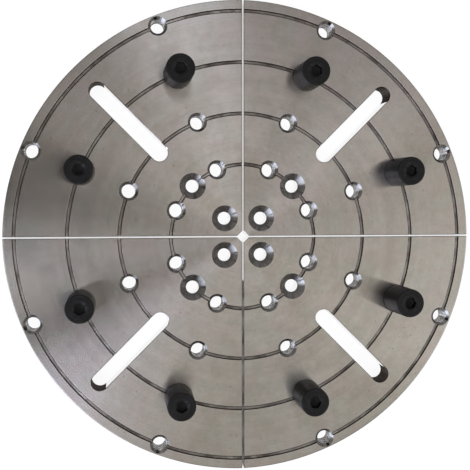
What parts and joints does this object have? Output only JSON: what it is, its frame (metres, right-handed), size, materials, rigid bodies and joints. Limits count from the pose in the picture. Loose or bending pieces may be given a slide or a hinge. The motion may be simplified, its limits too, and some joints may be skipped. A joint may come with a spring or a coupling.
{
  "type": "chuck button jaw set",
  "caption": "Flat quadrant jaw plates for a woodturning scroll chuck, with ringed button holes, radial slots and screwed-on rubber buttons that grip the rim of a bowl.",
  "frame": {"origin": "on the chuck's axis, at the flat back of the plates, with the jaws closed", "axes": "+Z out of the plates' faces towards the work; the gaps between the plates lie along X and Y; jaw 1 is in the +X +Y quadrant and the jaws are numbered counter-clockwise seen from the work"},
  "size_m": [0.2276, 0.2276, 0.0328],
  "materials": {
    "jaw_plate": "face-turned, satin, with fine concentric tool marks",
    "rubber_button": "smooth moulded black rubber, slightly sheened",
    "button_screw": "black oxide with a light oil film"
  },
  "bodies": {
    "jaw_1": {"jaw_plate_1": "jaw_plate", "rubber_button_1a": "rubber_button", "rubber_button_1b": "rubber_button", "button_screw_1a": "button_screw", "button_screw_1b": "button_screw"},
    "jaw_2": {"jaw_plate_2": "jaw_plate", "rubber_button_2a": "rubber_button", "rubber_button_2b": "rubber_button", "button_screw_2a": "button_screw", "button_screw_2b": "button_screw"},
    "jaw_3": {"jaw_plate_3": "jaw_plate", "rubber_button_3a": "rubber_button", "rubber_button_3b": "rubber_button", "button_screw_3a": "button_screw", "button_screw_3b": "button_screw"},
    "jaw_4": {"jaw_plate_4": "jaw_plate", "rubber_button_4a": "rubber_button", "rubber_button_4b": "rubber_button", "button_screw_4a": "button_screw", "button_screw_4b": "button_screw"}
  },
  "joints": [
    {"name": "jaw_3_slide", "type": "slide", "parent": "jaw_1", "child": "jaw_3", "axis": [-0.7071, -0.7071, 0], "range_m": [0, 0.026]},
    {"name": "jaw_2_slide", "type": "slide", "parent": "jaw_1", "child": "jaw_2", "axis": [-1, 0, 0], "range_m": [0, 0.01838]},
    {"name": "jaw_4_slide", "type": "slide", "parent": "jaw_1", "child": "jaw_4", "axis": [0, -1, 0], "range_m": [0, 0.01838]}
  ],
  "couplings": [
    {"joint": "jaw_2_slide", "follows": "jaw_3_slide", "ratio": 0.70711},
    {"joint": "jaw_4_slide", "follows": "jaw_3_slide", "ratio": 0.70711}
  ]
}
